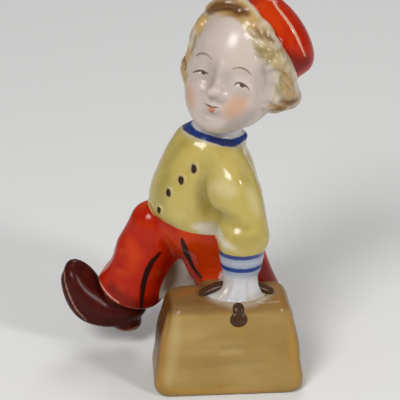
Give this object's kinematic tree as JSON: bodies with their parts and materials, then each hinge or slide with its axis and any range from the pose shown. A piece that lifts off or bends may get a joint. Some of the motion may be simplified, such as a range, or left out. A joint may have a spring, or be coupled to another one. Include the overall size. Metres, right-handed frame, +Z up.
{
  "type": "souvenir figurine",
  "caption": "Porcelain figurine of a child porter in a pillbox cap and buttoned jacket, in stride, with one hand on a travelling bag that stands on the ground.",
  "frame": {"origin": "centre of the bag's flat base, on the ground", "axes": "+Z up; the figure walks toward -X; -Y is the side that the bag stands on"},
  "size_m": [0.0611, 0.0413, 0.095],
  "materials": {
    "bag_tan": "gloss",
    "bag_brown": "gloss",
    "white_clay": "gloss",
    "jacket_yellow": "gloss",
    "button_brown": "gloss",
    "collar_blue": "gloss",
    "face_glaze": "gloss",
    "hair_blond": "gloss",
    "red_orange": "gloss",
    "bare_clay": "matt",
    "shoe_maroon": "gloss"
  },
  "bodies": {
    "root": {"bag_body": "bag_tan", "bag_clasp": "bag_brown", "bag_handle": "bag_brown", "cap_band": "red_orange", "cap_crown": "red_orange", "collar": "collar_blue", "forelock": "hair_blond", "front_leg": "red_orange", "front_shoe": "shoe_maroon", "front_sole": "shoe_maroon", "hair": "hair_blond", "head": "face_glaze", "jacket": "jacket_yellow", "jacket_button_1": "button_brown", "jacket_button_2": "button_brown", "jacket_button_3": "button_brown", "jacket_button_4": "button_brown", "left_cuff": "white_clay", "left_hand": "white_clay", "left_sleeve": "jacket_yellow", "leg_web": "bare_clay", "neck": "white_clay", "rear_leg": "red_orange", "rear_shoe": "shoe_maroon", "rear_sole": "shoe_maroon", "right_cuff": "white_clay", "right_hand": "white_clay", "right_sleeve": "jacket_yellow", "trousers_seat": "red_orange"}
  },
  "joints": []
}
